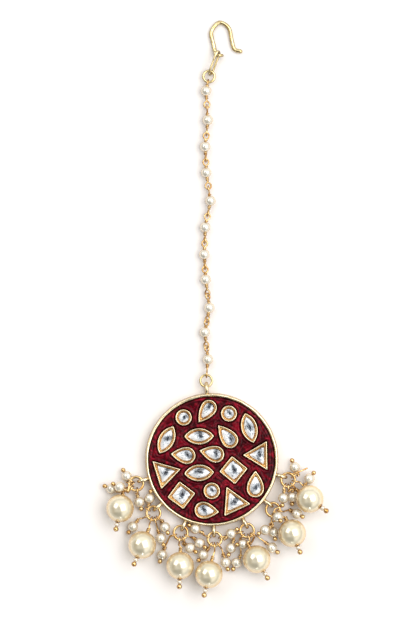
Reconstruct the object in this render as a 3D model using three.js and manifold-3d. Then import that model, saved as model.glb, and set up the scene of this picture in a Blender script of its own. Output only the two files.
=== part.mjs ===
// A maang tikka, lying face up: a round enamelled pendant with eighteen set stones, seven bunches
// of pearl drops on its lower edge, a chain of pearl links and a hammered hook for the hair.
// Millimetres, +Z up. The origin is the centre of the pendant's flat back, and the chain runs
// along +Y to the hook. Angles are in degrees, counter-clockwise from +X as seen from above.
import * as THREE from 'three';
import { mergeVertices } from 'three/addons/utils/BufferGeometryUtils.js';
import Module from 'manifold-3d';

const wasm = await Module();
wasm.setup();

// ---- Driving dimensions -------------------------------------------------------------------

const TRAY = { topRadius: 18.8, backRadius: 19.05, rimWidth: 0.7, rimHeight: 3.2, floor: 0.9 };
const ENAMEL = { top: 2.4, gap: 0.14 };
const COLLET = { foot: 0.5, top: 3.6, wall: 0.45, recess: 0.9, taper: 0.55 };
const STONE = { lift: 0.3, halfHeight: 0.45, girdle: 0.06, bevel: 0.6, inset: 0.9 };
const LUG = { radius: 1.4, wire: 0.45, height: 1.85, reach: 20.3 };
const TOP_LUG = { radius: 1.5, wire: 0.45, height: 1.95, reach: 20.35, bearing: 94 };
const JUMP_RING = { radius: 1.95, wire: 0.34, height: 2.1, reach: 2.28 };
const CHAIN_RING = { radius: 1.67, wire: 0.33, height: 1.95, reach: 2.24 };
const HOOK_RING = { x: -0.77, y: 109.3, height: 1.4, radius: 1.6, wire: 0.38 };
const LARGE_PEARL = { radius: 4, hole: 0.55 };
const LARGE_PIN = {
  wire: 0.25, bend: 5.2, loop: 1.0, seed: 0.75, seedReach: 4.9, ball: 0.78, ballReach: 6.12,
};
const SMALL_PEARL = { radius: 1.5 };
const SMALL_PIN = { wire: 0.25, coilRadius: 0.42, coilEnd: 2.5, ball: 0.85, ballReach: 1.95 };
const CHAIN_LINK = { wire: 0.22, loop: 0.85, overlap: 1.0, lowerShare: 0.54 };
const HOOK_WIRE = 0.6;
const HOOK_EYE = { x: 2.0, y: 115.3, radius: 1.0, wire: 0.42 };
const HOOK_LINK = { wire: 0.3, halfWidth: 1.1, bearing: 66, twist: 66, pastEye: 0.85, insideRing: 0.82 };
const LOOP_SLACK = 0.2;

// ---- Tables: one row for each piece -------------------------------------------------------

const roundStones = [
  { x: -8.0, y: 12.1, across: 4.7 },
  { x: 4.9, y: 13.2, across: 4.65 },
  { x: 0.0, y: -8.8, across: 4.8 },
];
const pearStones = [
  { tipX: -3.8, tipY: 10.6, endX: -0.8, endY: 14.85, radius: 2.3 },
  { tipX: 1.8, tipY: 9.95, endX: 5.2, endY: 5.7, radius: 2.4 },
  { tipX: -11.75, tipY: 1.7, endX: -7.05, endY: 1.25, radius: 2.45 },
  { tipX: -3.55, tipY: 2.7, endX: 1.2, endY: 1.6, radius: 2.4 },
  { tipX: 12.5, tipY: -3.0, endX: 12.4, endY: -8.2, radius: 2.5 },
  { tipX: 2.15, tipY: -14.85, endX: -2.5, endY: -14.3, radius: 2.45 },
];
const marquiseStones = [
  { startX: 9.5, startY: 13.4, endX: 11.9, endY: 4.8, width: 4.7 },
  { startX: -14.9, startY: 1.8, endX: -10.9, endY: 9.65, width: 4.6 },
  { startX: -7.9, startY: 6.65, endX: 0.7, endY: 6.8, width: 4.7 },
  { startX: -7.9, startY: -3.9, endX: 0.7, endY: -3.45, width: 4.8 },
];
const triangleStones = [
  { aX: 8.7, aY: 1.4, bX: 15.9, bY: -3.0, cX: 15.75, cY: 5.5 },
  { aX: -17.0, aY: -0.2, bX: -14.4, bY: -8.45, cX: -8.7, cY: -2.6 },
  { aX: 4.15, aY: -7.5, bX: 3.5, bY: -16.1, cX: 11.15, cY: -12.55 },
];
const squareStones = [
  { x: 6.2, y: -2.9, side: 5.85, turn: -39 },
  { x: -8.65, y: -10.05, side: 5.8, turn: -37 },
];

// Lower lugs, and where the jump ring in each lies from its lug.
const lugs = [
  { bearing: 196.4, ringBearing: 208 },
  { bearing: 221, ringBearing: 236 },
  { bearing: 246.9, ringBearing: 247 },
  { bearing: 271.8, ringBearing: 275 },
  { bearing: 297.9, ringBearing: 285 },
  { bearing: 322.5, ringBearing: 306 },
  { bearing: 346.9, ringBearing: 330 },
];

// Large drops, one for each lug: the pearl's centre, the way its pin points and how far up it
// leans, and where on the jump ring its loop hangs.
const largeDrops = [
  { x: -26.1, y: -13.75, bearing: 259, lean: 14, hang: 225 },
  { x: -19.8, y: -24.15, bearing: 247, lean: 18, hang: 250 },
  { x: -9.0, y: -30.05, bearing: 268, lean: 16, hang: 262 },
  { x: -0.8, y: -32.55, bearing: 257, lean: 12, hang: 270 },
  { x: 12.8, y: -28.25, bearing: 300, lean: 4, hang: 285 },
  { x: 22.9, y: -20.85, bearing: 293, lean: 22, hang: 315 },
  { x: 27.9, y: -11.1, bearing: 325, lean: 22, hang: 312 },
];

// Small drops: the lug that each hangs from, the pearl's centre, the way its pin points and leans,
// and where on the jump ring it hangs.
const smallDrops = [
  { lug: 1, x: -24.2, y: -4.7, z: 1.6, bearing: 120, lean: 0, hang: 150 },
  { lug: 1, x: -26.2, y: -7.65, z: 3.9, bearing: 155, lean: 0, hang: 172 },
  { lug: 1, x: -28.6, y: -8.2, z: 1.5, bearing: 159, lean: 8, hang: 202 },
  { lug: 1, x: -20.6, y: -12.0, z: 1.5, bearing: 285, lean: 0, hang: 280 },
  { lug: 2, x: -17.7, y: -11.0, z: 1.5, bearing: 82, lean: 0, hang: 145 },
  { lug: 2, x: -22.45, y: -19.05, z: 1.5, bearing: 233, lean: 0, hang: 205 },
  { lug: 2, x: -13.3, y: -19.2, z: 1.85, bearing: 297, lean: 32, hang: 315 },
  { lug: 2, x: -14.4, y: -22.35, z: 1.5, bearing: 291, lean: 12, hang: 285 },
  { lug: 3, x: -14.1, y: -27.1, z: 1.5, bearing: 250, lean: 18, hang: 200 },
  { lug: 3, x: -6.15, y: -25.1, z: 1.55, bearing: 325, lean: 22, hang: 295 },
  { lug: 3, x: -3.4, y: -23.7, z: 1.7, bearing: 321, lean: 25, hang: 335 },
  { lug: 4, x: -4.65, y: -19.65, z: 1.9, bearing: 151, lean: 0, hang: 160 },
  { lug: 4, x: -2.4, y: -27.05, z: 1.5, bearing: 231, lean: 0, hang: 235 },
  { lug: 4, x: 5.55, y: -21.05, z: 1.9, bearing: 37, lean: 0, hang: 15 },
  { lug: 4, x: 4.0, y: -29.2, z: 1.5, bearing: 287, lean: 0, hang: 305 },
  { lug: 5, x: 5.5, y: -25.15, z: 1.5, bearing: 251, lean: 0, hang: 195 },
  { lug: 5, x: 8.95, y: -24.0, z: 1.85, bearing: 184, lean: 32, hang: 315 },
  { lug: 5, x: 7.1, y: -29.35, z: 1.5, bearing: 242, lean: 0, hang: 232 },
  { lug: 5, x: 17.2, y: -25.05, z: 1.5, bearing: 321, lean: 0, hang: 330 },
  { lug: 6, x: 15.2, y: -19.95, z: 3.3, bearing: 209, lean: 0, hang: 262 },
  { lug: 6, x: 18.8, y: -16.15, z: 5.1, bearing: 306, lean: 52, hang: 20 },
  { lug: 6, x: 24.3, y: -15.35, z: 1.8, bearing: 333, lean: 30, hang: 350 },
  { lug: 6, x: 17.5, y: -20.6, z: 1.5, bearing: 287, lean: 0, hang: 288 },
  { lug: 7, x: 23.7, y: -2.1, z: 1.5, bearing: 112, lean: 0, hang: 35 },
  { lug: 7, x: 27.85, y: -5.35, z: 1.9, bearing: 53, lean: 0, hang: 350 },
  { lug: 7, x: 20.4, y: -10.85, z: 3.1, bearing: 262, lean: 0, hang: 240 },
  { lug: 7, x: 23.0, y: -10.6, z: 1.5, bearing: 268, lean: -15, hang: 272 },
];

// The long end of one pin that was left sticking out beside the last lug.
const WIRE_TAIL = { lug: 7, hang: 60, x: 27.2, y: -2.4, z: 1.7 };

// Chain pearls from the hook down, and how far the loop below each is turned from lying flat.
const chainPearls = [
  { x: -1.6, y: 105.2, turn: 0 },
  { x: -1.1, y: 96.9, turn: 85 },
  { x: -1.85, y: 89.3, turn: 80 },
  { x: -1.55, y: 81.9, turn: 0 },
  { x: -0.35, y: 73.85, turn: 80 },
  { x: -1.85, y: 66.3, turn: 75 },
  { x: -2.1, y: 58.55, turn: 75 },
  { x: -1.7, y: 51.4, turn: 40 },
  { x: -0.65, y: 43.35, turn: 50 },
  { x: -1.95, y: 36.35, turn: 40 },
  { x: -1.05, y: 28.6, turn: 90 },
];

// The hook's wire from its eye, up one side, over the top and down to the turned-out tip.
const hookCourse = [
  { x: 0.9, y: 116.6, z: 1.0 },
  { x: 0.55, y: 118.3, z: 0.7 },
  { x: -0.1, y: 122.0, z: 0.6 },
  { x: 2.2, y: 124.7, z: 0.6 },
  { x: 4.85, y: 123.2, z: 0.6 },
  { x: 5.75, y: 119.4, z: 0.6 },
  { x: 6.5, y: 117.1, z: 0.6 },
  { x: 8.2, y: 116.5, z: 0.6 },
];

// ---- Solids -------------------------------------------------------------------------------

const UP = new THREE.Vector3(0, 0, 1);
const SIDEWAYS = new THREE.Vector3(0, 1, 0);

function radians(degrees) {
  return THREE.MathUtils.degToRad(degrees);
}

// A unit vector that points along a bearing and leans up by an angle.
function heading(bearing, lean = 0) {
  const flat = Math.cos(radians(lean));
  return new THREE.Vector3(
    flat * Math.cos(radians(bearing)),
    flat * Math.sin(radians(bearing)),
    Math.sin(radians(lean)),
  );
}

function pointAlong(start, direction, distance) {
  return start.clone().addScaledVector(direction, distance);
}

// A closed geometry as a manifold solid, with its shared corners merged.
function toSolid(geometry) {
  const bare = geometry.clone();
  bare.deleteAttribute('normal');
  bare.deleteAttribute('uv');
  const merged = mergeVertices(bare, 1e-4);
  const corners = merged.index.array;
  const kept = [];
  for (let i = 0; i < corners.length; i += 3) {
    const [a, b, c] = corners.slice(i, i + 3);
    if (a !== b && b !== c && c !== a) kept.push(a, b, c);
  }
  return new wasm.Manifold(new wasm.Mesh({
    numProp: 3,
    vertProperties: new Float32Array(merged.attributes.position.array),
    triVerts: new Uint32Array(kept),
  }));
}

function toGeometry(solid) {
  const { vertProperties, triVerts } = solid.getMesh();
  const geometry = new THREE.BufferGeometry();
  geometry.setAttribute('position', new THREE.BufferAttribute(vertProperties, 3));
  geometry.setIndex(new THREE.BufferAttribute(triVerts, 1));
  geometry.computeVertexNormals();
  return geometry;
}

function joined(solids) {
  return solids.reduce((whole, next) => whole.add(next));
}

function pearl(centre, radius, sides, bands) {
  const sphere = new THREE.SphereGeometry(radius, sides, bands);
  sphere.rotateX(Math.PI / 2);
  return toSolid(sphere.translate(centre.x, centre.y, centre.z));
}

// A small metal ball or seed bead, as a coarse solid.
function bead(centre, radius) {
  const facets = new THREE.IcosahedronGeometry(radius, 0);
  return toSolid(facets.translate(centre.x, centre.y, centre.z));
}

// A round bar between two points, run on a little past both.
function rod(start, end, radius, sides = 6) {
  const runOn = 0.08;
  const along = end.clone().sub(start);
  const bar = new THREE.CylinderGeometry(radius, radius, along.length() + 2 * runOn, sides);
  bar.applyQuaternion(new THREE.Quaternion().setFromUnitVectors(SIDEWAYS, along.normalize()));
  const middle = start.clone().lerp(end, 0.5);
  return toSolid(bar.translate(middle.x, middle.y, middle.z));
}

// A closed ring of round wire, square to its normal.
function ring(centre, normal, radius, wire, sides = 5, steps = 8) {
  const torus = new THREE.TorusGeometry(radius, wire, sides, steps);
  torus.applyQuaternion(new THREE.Quaternion().setFromUnitVectors(UP, normal));
  return toSolid(torus.translate(centre.x, centre.y, centre.z));
}

// A tube of round wire that follows a curve.
function tube(curve, radius, sides, steps) {
  const section = new THREE.Shape();
  section.absarc(0, 0, radius, 0, 2 * Math.PI);
  const corners = section.getSpacedPoints(sides).slice(0, sides);
  return toSolid(new THREE.ExtrudeGeometry(new THREE.Shape(corners), { extrudePath: curve, steps }));
}

// ---- Outlines of the stones' collets ------------------------------------------------------

function circleOutline({ x, y, across }) {
  const corners = 12;
  return Array.from({ length: corners }, (_, i) => {
    const angle = (2 * Math.PI * i) / corners;
    return new THREE.Vector2(x + (across / 2) * Math.cos(angle), y + (across / 2) * Math.sin(angle));
  });
}

// Two equal arcs that meet in a point at both ends.
function marquiseOutline({ startX, startY, endX, endY, width }) {
  const start = new THREE.Vector2(startX, startY);
  const end = new THREE.Vector2(endX, endY);
  const middle = start.clone().lerp(end, 0.5);
  const half = start.distanceTo(end) / 2;
  const along = end.clone().sub(start).normalize();
  const across = new THREE.Vector2(-along.y, along.x);
  const arcRadius = (half ** 2 + (width / 2) ** 2) / width;
  const sweep = Math.asin(half / arcRadius);
  const steps = 6;
  const outline = [];
  for (const side of [-1, 1]) {
    for (let i = 0; i < steps; i += 1) {
      const angle = -sweep + (2 * sweep * i) / steps;
      const run = -side * arcRadius * Math.sin(angle);
      const rise = side * (arcRadius * Math.cos(angle) - arcRadius + width / 2);
      outline.push(middle.clone().addScaledVector(along, run).addScaledVector(across, rise));
    }
  }
  return outline;
}

// A half circle at the round end, and two bowed sides that meet at the tip.
function pearOutline({ tipX, tipY, endX, endY, radius }) {
  const tip = new THREE.Vector2(tipX, tipY);
  const end = new THREE.Vector2(endX, endY);
  const along = tip.clone().sub(end).normalize();
  const across = new THREE.Vector2(-along.y, along.x);
  const bow = 0.45 * tip.distanceTo(end);
  const left = end.clone().addScaledVector(across, radius);
  const right = end.clone().addScaledVector(across, -radius);
  const shape = new THREE.Shape();
  shape.moveTo(left.x, left.y);
  shape.absarc(endX, endY, radius, across.angle(), across.angle() + Math.PI, false);
  const rightBow = right.clone().addScaledVector(along, bow);
  const leftBow = left.clone().addScaledVector(along, bow);
  shape.quadraticCurveTo(rightBow.x, rightBow.y, tipX, tipY);
  shape.quadraticCurveTo(leftBow.x, leftBow.y, left.x, left.y);
  return distinct(shape.getPoints(4));
}

// Straight sides with rounded corners, given counter-clockwise.
function roundedOutline(corners, rounding = 0.9) {
  const shape = new THREE.Shape();
  corners.forEach((corner, i) => {
    const before = corners[(i + corners.length - 1) % corners.length];
    const after = corners[(i + 1) % corners.length];
    const enter = pointAlong(corner, before.clone().sub(corner).normalize(), rounding);
    const leave = pointAlong(corner, after.clone().sub(corner).normalize(), rounding);
    if (i === 0) shape.moveTo(enter.x, enter.y);
    else shape.lineTo(enter.x, enter.y);
    shape.quadraticCurveTo(corner.x, corner.y, leave.x, leave.y);
  });
  return distinct(shape.getPoints(2));
}

function triangleOutline({ aX, aY, bX, bY, cX, cY }) {
  return roundedOutline([
    new THREE.Vector2(aX, aY),
    new THREE.Vector2(bX, bY),
    new THREE.Vector2(cX, cY),
  ]);
}

function squareOutline({ x, y, side, turn }) {
  const halfDiagonal = side / Math.SQRT2;
  return roundedOutline([45, 135, 225, 315].map((corner) => new THREE.Vector2(
    x + halfDiagonal * Math.cos(radians(turn + corner)),
    y + halfDiagonal * Math.sin(radians(turn + corner)),
  )));
}

// The outline without points that repeat the one before.
function distinct(points) {
  return points.filter((point, i) => {
    const before = points[(i + points.length - 1) % points.length];
    return point.distanceTo(before) > 0.02;
  });
}

// What is left of a convex outline on the left of a line.
function clipped(outline, start, along) {
  const kept = [];
  outline.forEach((point, i) => {
    const next = outline[(i + 1) % outline.length];
    const depth = along.cross(point.clone().sub(start));
    const nextDepth = along.cross(next.clone().sub(start));
    if (depth >= 0) kept.push(point);
    if (depth * nextDepth < 0) kept.push(point.clone().lerp(next, depth / (depth - nextDepth)));
  });
  return kept;
}

// A convex outline with every side moved inwards; a negative distance moves them outwards.
function inset(outline, distance) {
  const reach = 2 * TRAY.backRadius;
  const plate = [[-reach, -reach], [reach, -reach], [reach, reach], [-reach, reach]];
  let left = plate.map(([x, y]) => new THREE.Vector2(x, y));
  outline.forEach((start, i) => {
    const along = outline[(i + 1) % outline.length].clone().sub(start).normalize();
    const inward = new THREE.Vector2(-along.y, along.x);
    left = clipped(left, pointAlong(start, inward, distance), along);
  });
  return distinct(left);
}

// An upright block with the outline as its plan.
function block(outline, bottom, top) {
  const shape = new THREE.Shape(outline);
  const blank = new THREE.ExtrudeGeometry(shape, { depth: top - bottom, bevelEnabled: false });
  return toSolid(blank.translate(0, 0, bottom));
}

// A block whose plan is the outline at the bottom and top and wider by the bevel in between.
function bevelledBlock(outline, bevel, slope, bottom, middle) {
  const shape = new THREE.Shape(outline);
  const blank = new THREE.ExtrudeGeometry(shape, {
    depth: middle,
    bevelSize: bevel,
    bevelThickness: slope,
    bevelSegments: 1,
  });
  return toSolid(blank.translate(0, 0, bottom + slope));
}

// ---- Sub-parts ----------------------------------------------------------------------------

function collet(outline) {
  const wall = block(outline, COLLET.foot, COLLET.top);
  const narrow = inset(outline, COLLET.wall + COLLET.taper);
  const seat = COLLET.top - COLLET.recess;
  const recess = bevelledBlock(narrow, COLLET.taper, COLLET.recess, seat, 1);
  return wall.subtract(recess);
}

function stone(outline) {
  const table = inset(outline, STONE.inset + STONE.bevel);
  const bottom = COLLET.top - COLLET.recess + STONE.lift;
  return bevelledBlock(table, STONE.bevel, STONE.halfHeight, bottom, STONE.girdle);
}

function tray() {
  const { topRadius, backRadius, rimWidth, rimHeight, floor } = TRAY;
  const inner = topRadius - rimWidth;
  const profile = [
    new THREE.Vector2(0, 0),
    new THREE.Vector2(backRadius, 0),
    new THREE.Vector2(topRadius, rimHeight),
    new THREE.Vector2(inner, rimHeight),
    new THREE.Vector2(inner, floor),
    new THREE.Vector2(0, floor),
  ];
  const turned = new THREE.LatheGeometry(profile, 40);
  return toSolid(turned.rotateX(Math.PI / 2));
}

// A ring soldered on edge to the tray's side, so that a jump ring can lie through it.
function lugRing(lug, bearing) {
  const centre = heading(bearing).multiplyScalar(lug.reach).setZ(lug.height);
  return ring(centre, heading(bearing + 90), lug.radius, lug.wire, 5, 10);
}

function pendantFrame(outlines) {
  const lowerLugs = lugs.map(({ bearing }) => lugRing(LUG, bearing));
  const topLug = lugRing(TOP_LUG, TOP_LUG.bearing);
  return joined([tray(), ...outlines.map(collet), ...lowerLugs, topLug]);
}

function enamel(outlines) {
  const radius = TRAY.topRadius - TRAY.rimWidth - ENAMEL.gap;
  const disc = new THREE.CylinderGeometry(radius, radius, ENAMEL.top - TRAY.floor - ENAMEL.gap, 40);
  disc.rotateX(Math.PI / 2);
  disc.translate(0, 0, (ENAMEL.top + TRAY.floor + ENAMEL.gap) / 2);
  const holes = outlines.map((outline) => block(inset(outline, -ENAMEL.gap), 0, COLLET.top));
  return toSolid(disc).subtract(joined(holes));
}

// Where the jump ring of a lug lies.
function jumpRingCentre({ bearing, ringBearing }) {
  const hole = heading(bearing).multiplyScalar(LUG.reach);
  return pointAlong(hole, heading(ringBearing), JUMP_RING.reach).setZ(JUMP_RING.height);
}

// The place of a wire loop that hangs on a flat ring at a bearing and is pulled towards a point.
function hangingLoop(ringCentre, ringRadius, hang, towards, loopRadius) {
  const wirePoint = pointAlong(ringCentre, heading(hang), ringRadius);
  const normal = heading(hang + 90);
  const pull = towards.clone().sub(wirePoint);
  pull.addScaledVector(normal, -pull.dot(normal)).normalize();
  const centre = pointAlong(wirePoint, pull, LOOP_SLACK);
  return { centre, normal, neck: pointAlong(centre, pull, loopRadius) };
}

// A small pearl on a ball-headed pin, whose other end runs to the jump ring and is joined to it.
function smallDrop({ x, y, z, bearing, lean, hang }, ringCentre) {
  const pin = SMALL_PIN;
  const centre = new THREE.Vector3(x, y, z);
  const way = heading(bearing, lean);
  const ballCentre = pointAlong(centre, way, pin.ballReach);
  const coilEnd = pointAlong(centre, way, -pin.coilEnd);
  const ringPoint = pointAlong(ringCentre, heading(hang), JUMP_RING.radius);
  return joined([
    pearl(centre, SMALL_PEARL.radius, 8, 5),
    bead(ballCentre, pin.ball),
    rod(centre, coilEnd, pin.coilRadius, 4),
    rod(coilEnd, ringPoint, pin.wire, 4),
  ]);
}

function smallPearls(number) {
  const centre = jumpRingCentre(lugs[number - 1]);
  const drops = smallDrops.filter(({ lug }) => lug === number);
  const parts = drops.map((drop) => smallDrop(drop, centre));
  parts.push(ring(centre, UP, JUMP_RING.radius, JUMP_RING.wire, 5, 9));
  if (WIRE_TAIL.lug === number) {
    const start = pointAlong(centre, heading(WIRE_TAIL.hang), JUMP_RING.radius);
    const end = new THREE.Vector3(WIRE_TAIL.x, WIRE_TAIL.y, WIRE_TAIL.z);
    parts.push(rod(start, end, SMALL_PIN.wire, 4));
  }
  return joined(parts);
}

function largeDropPose({ x, y, bearing, lean }) {
  return { centre: new THREE.Vector3(x, y, LARGE_PEARL.radius), way: heading(bearing, lean) };
}

function largePearl(drop) {
  const { centre, way } = largeDropPose(drop);
  const start = pointAlong(centre, way, -LARGE_PEARL.radius);
  const drill = rod(start, pointAlong(centre, way, LARGE_PEARL.radius), LARGE_PEARL.hole, 6);
  return pearl(centre, LARGE_PEARL.radius, 12, 7).subtract(drill);
}

// The pin of a large pearl: it bends to its loop on one side, with a seed bead and a ball on the other.
function pearlPin(drop, ringCentre) {
  const pin = LARGE_PIN;
  const { centre, way } = largeDropPose(drop);
  const bend = pointAlong(centre, way, -pin.bend);
  const ballCentre = pointAlong(centre, way, pin.ballReach);
  const loop = hangingLoop(ringCentre, JUMP_RING.radius, drop.hang, bend, pin.loop);
  return joined([
    rod(bend, ballCentre, pin.wire, 5),
    bead(pointAlong(centre, way, pin.seedReach), pin.seed),
    bead(ballCentre, pin.ball),
    rod(bend, loop.neck, pin.wire, 5),
    ring(loop.centre, loop.normal, pin.loop, pin.wire, 4, 8),
  ]);
}

function topLugHole() {
  return heading(TOP_LUG.bearing).multiplyScalar(TOP_LUG.reach).setZ(TOP_LUG.height);
}

function chainRingCentre() {
  return pointAlong(topLugHole(), heading(TOP_LUG.bearing), CHAIN_RING.reach).setZ(CHAIN_RING.height);
}

function hookRingCentre() {
  return new THREE.Vector3(HOOK_RING.x, HOOK_RING.y, HOOK_RING.height);
}

function chainPearlCentre({ x, y }) {
  return new THREE.Vector3(x, y, SMALL_PEARL.radius);
}

// A loop's normal when it is turned about the line of the chain; at 0 degrees it lies flat.
function turnedNormal(along, turn) {
  const level = new THREE.Vector3().crossVectors(UP, along).normalize();
  const flat = new THREE.Vector3().crossVectors(along, level);
  return flat.applyAxisAngle(along, radians(turn));
}

// The two loops that interlink between one chain pearl and the next.
function chainJoint(upper, lower) {
  const start = chainPearlCentre(upper);
  const end = chainPearlCentre(lower);
  const along = end.clone().sub(start);
  const wireLength = along.length() - CHAIN_LINK.overlap;
  along.normalize();
  const below = CHAIN_LINK.lowerShare * wireLength;
  const above = wireLength - below;
  return {
    below: { centre: pointAlong(start, along, below), normal: turnedNormal(along, upper.turn) },
    above: { centre: pointAlong(end, along, -above), normal: turnedNormal(along, upper.turn + 90) },
  };
}

// The loop of an end link on its ring, standing on edge.
function endLoop(ringCentre, ringRadius, row) {
  const along = chainPearlCentre(row).sub(ringCentre);
  const bearing = THREE.MathUtils.radToDeg(Math.atan2(along.y, along.x));
  return hangingLoop(ringCentre, ringRadius, bearing, chainPearlCentre(row), CHAIN_LINK.loop);
}

// One pearl on its wire, with a loop at both ends.
function chainLink(index) {
  const row = chainPearls[index];
  const centre = chainPearlCentre(row);
  const first = index === 0;
  const last = index === chainPearls.length - 1;
  const above = first
    ? endLoop(hookRingCentre(), HOOK_RING.radius, row)
    : chainJoint(chainPearls[index - 1], row).above;
  const below = last
    ? endLoop(chainRingCentre(), CHAIN_RING.radius, row)
    : chainJoint(row, chainPearls[index + 1]).below;
  const parts = [pearl(centre, SMALL_PEARL.radius, 8, 6)];
  for (const loop of [above, below]) {
    const way = loop.centre.clone().sub(centre);
    const neck = way.length() - CHAIN_LINK.loop;
    parts.push(rod(centre, pointAlong(centre, way.normalize(), neck), CHAIN_LINK.wire, 4));
    parts.push(ring(loop.centre, loop.normal, CHAIN_LINK.loop, CHAIN_LINK.wire, 4, 7));
  }
  return joined(parts);
}

// A long closed link: two straight sides and two round ends. One side runs through the hook's eye,
// and the lower end goes round the hook ring's wire.
function hookLink() {
  const { wire, halfWidth, twist, pastEye, insideRing } = HOOK_LINK;
  const eye = new THREE.Vector3(HOOK_EYE.x, HOOK_EYE.y, HOOK_EYE.radius + HOOK_EYE.wire);
  const way = heading(HOOK_LINK.bearing);
  const side = new THREE.Vector3().crossVectors(UP, way).applyAxisAngle(way, radians(twist));
  const top = pointAlong(pointAlong(eye, side, halfWidth), way, pastEye);
  const bottom = pointAlong(hookRingCentre(), way, HOOK_RING.radius - insideRing);
  const along = top.clone().sub(bottom);
  const length = along.length();
  along.normalize();
  const corner = (run, rise) => pointAlong(pointAlong(bottom, along, run), side, rise);
  const shoulder = 0.55 * halfWidth;
  const loop = new THREE.CatmullRomCurve3([
    corner(halfWidth, halfWidth),
    corner(length / 2, halfWidth),
    corner(length - halfWidth, halfWidth),
    corner(length, shoulder),
    corner(length, -shoulder),
    corner(length - halfWidth, -halfWidth),
    corner(length / 2, -halfWidth),
    corner(halfWidth, -halfWidth),
    corner(0, -shoulder),
    corner(0, shoulder),
  ], true, 'centripetal');
  const steps = 20;
  const points = loop.getPoints(steps);
  const open = new THREE.CatmullRomCurve3(points.slice(0, steps), false, 'centripetal');
  return joined([
    tube(open, wire, 5, steps - 1),
    rod(points[steps - 1], points[0], wire, 5),
  ]);
}

function hook() {
  const course = hookCourse.map(({ x, y, z }) => new THREE.Vector3(x, y, z));
  const curve = new THREE.CatmullRomCurve3(course, false, 'centripetal');
  const eyeHeight = HOOK_EYE.radius + HOOK_EYE.wire;
  const eyeCentre = new THREE.Vector3(HOOK_EYE.x, HOOK_EYE.y, eyeHeight);
  const shoulder = new THREE.Vector3(HOOK_EYE.x - HOOK_EYE.radius, HOOK_EYE.y, eyeHeight);
  return joined([
    tube(curve, HOOK_WIRE, 7, 24),
    rod(course[0], shoulder, HOOK_EYE.wire, 5),
    ring(eyeCentre, SIDEWAYS, HOOK_EYE.radius, HOOK_EYE.wire, 5, 10),
  ]);
}

// ---- Assembly -----------------------------------------------------------------------------

const gold = new THREE.MeshStandardMaterial({ color: 0xd9b878, roughness: 0.25, metalness: 1 });
const redEnamel = new THREE.MeshStandardMaterial({ color: 0x7a0f1c, roughness: 0.15, metalness: 0.1 });
const crystal = new THREE.MeshStandardMaterial({ color: 0xe9ecee, roughness: 0.05, metalness: 0.2 });
const pearlWhite = new THREE.MeshStandardMaterial({ color: 0xf2e9d6, roughness: 0.3, metalness: 0 });

const tikka = new THREE.Group();

function place(name, solid, material) {
  const mesh = new THREE.Mesh(toGeometry(solid), material);
  mesh.name = name;
  tikka.add(mesh);
}

const settings = [
  ...roundStones.map((row, i) => ({ name: `stone_round_${i + 1}`, outline: circleOutline(row) })),
  ...pearStones.map((row, i) => ({ name: `stone_pear_${i + 1}`, outline: pearOutline(row) })),
  ...marquiseStones.map((row, i) => ({ name: `stone_marquise_${i + 1}`, outline: marquiseOutline(row) })),
  ...triangleStones.map((row, i) => ({ name: `stone_triangle_${i + 1}`, outline: triangleOutline(row) })),
  ...squareStones.map((row, i) => ({ name: `stone_square_${i + 1}`, outline: squareOutline(row) })),
];
const outlines = settings.map(({ outline }) => outline);

place('pendant_frame', pendantFrame(outlines), gold);
place('enamel', enamel(outlines), redEnamel);
settings.forEach(({ name, outline }) => place(name, stone(outline), crystal));
lugs.forEach((lug, i) => {
  place(`large_pearl_${i + 1}`, largePearl(largeDrops[i]), pearlWhite);
  place(`pearl_pin_${i + 1}`, pearlPin(largeDrops[i], jumpRingCentre(lug)), gold);
  place(`small_pearls_${i + 1}`, smallPearls(i + 1), pearlWhite);
});
chainPearls.forEach((row, i) => place(`chain_link_${i + 1}`, chainLink(i), pearlWhite));
place('chain_ring', ring(chainRingCentre(), UP, CHAIN_RING.radius, CHAIN_RING.wire, 5, 12), gold);
place('hook_ring', ring(hookRingCentre(), UP, HOOK_RING.radius, HOOK_RING.wire, 5, 12), gold);
place('hook_link', hookLink(), gold);
place('hook', hook(), gold);

export default tikka;
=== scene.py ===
import math
import random

import bmesh
import bpy
import numpy as np
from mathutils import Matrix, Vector


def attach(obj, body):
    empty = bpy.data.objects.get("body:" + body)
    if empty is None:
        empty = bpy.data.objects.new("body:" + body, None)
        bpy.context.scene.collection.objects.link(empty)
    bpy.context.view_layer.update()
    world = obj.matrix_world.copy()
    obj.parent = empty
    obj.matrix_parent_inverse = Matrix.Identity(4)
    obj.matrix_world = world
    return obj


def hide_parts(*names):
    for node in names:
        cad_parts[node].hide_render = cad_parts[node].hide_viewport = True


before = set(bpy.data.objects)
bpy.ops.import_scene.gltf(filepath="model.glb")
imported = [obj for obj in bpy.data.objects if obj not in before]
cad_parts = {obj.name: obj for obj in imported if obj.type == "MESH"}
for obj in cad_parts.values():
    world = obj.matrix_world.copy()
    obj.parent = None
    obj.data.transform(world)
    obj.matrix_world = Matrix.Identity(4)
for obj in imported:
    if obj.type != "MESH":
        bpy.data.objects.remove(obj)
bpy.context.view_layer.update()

MM = 0.001
UP = np.array([0.0, 0.0, 1.0])

# ---- Sizes shared with the frame ------------------------------------------------------------

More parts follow.
